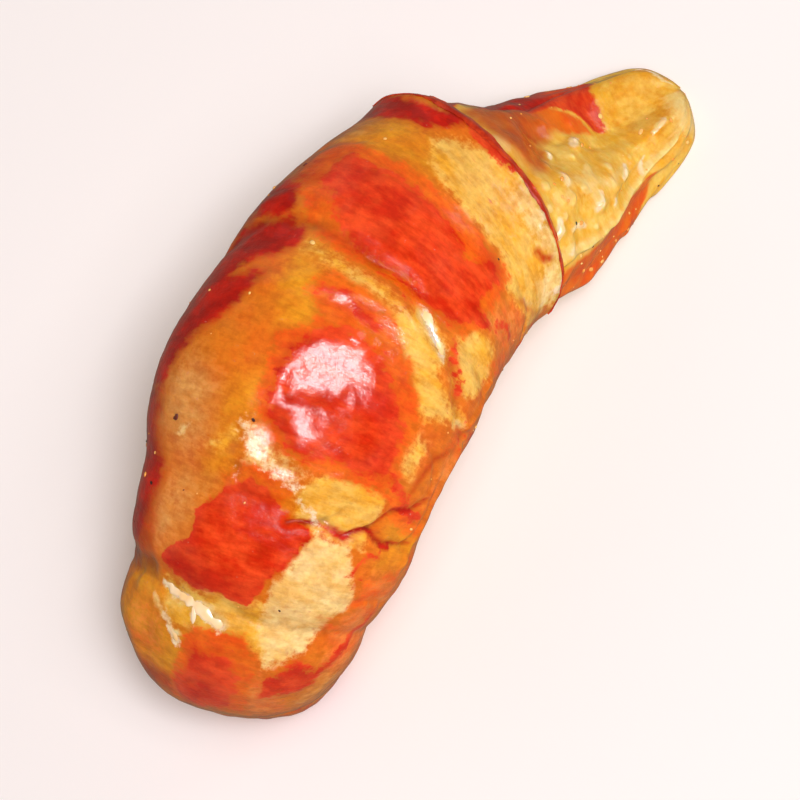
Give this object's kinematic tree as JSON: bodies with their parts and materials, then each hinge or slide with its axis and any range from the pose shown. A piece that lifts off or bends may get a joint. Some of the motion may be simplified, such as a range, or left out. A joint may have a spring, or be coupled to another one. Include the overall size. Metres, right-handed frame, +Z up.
{
  "type": "cooked crayfish tail",
  "caption": "Peeled cooked crayfish tail: one curled piece of red and orange meat in ringed segments, with a torn neck and a coat of sauce.",
  "frame": {"origin": "centre of the piece's footprint box, on the surface that it lies on", "axes": "+Z up; +X along the tail towards the torn neck; the curled posterior end is at -X and the back is up, leaning a little to -Y"},
  "size_m": [0.0454, 0.0172, 0.0217],
  "materials": {
    "meat": "wet, smooth cooked meat with red pigment patches over golden orange flesh, coated in a thin glossy sauce",
    "sauce": "thin, clear orange-brown sauce, wet and glossy, standing in the grooves and in small beads",
    "spice": "fine specks of ground pepper and dried chilli held in the sauce"
  },
  "bodies": {
    "root": {"tail_meat": "meat"}
  },
  "joints": []
}
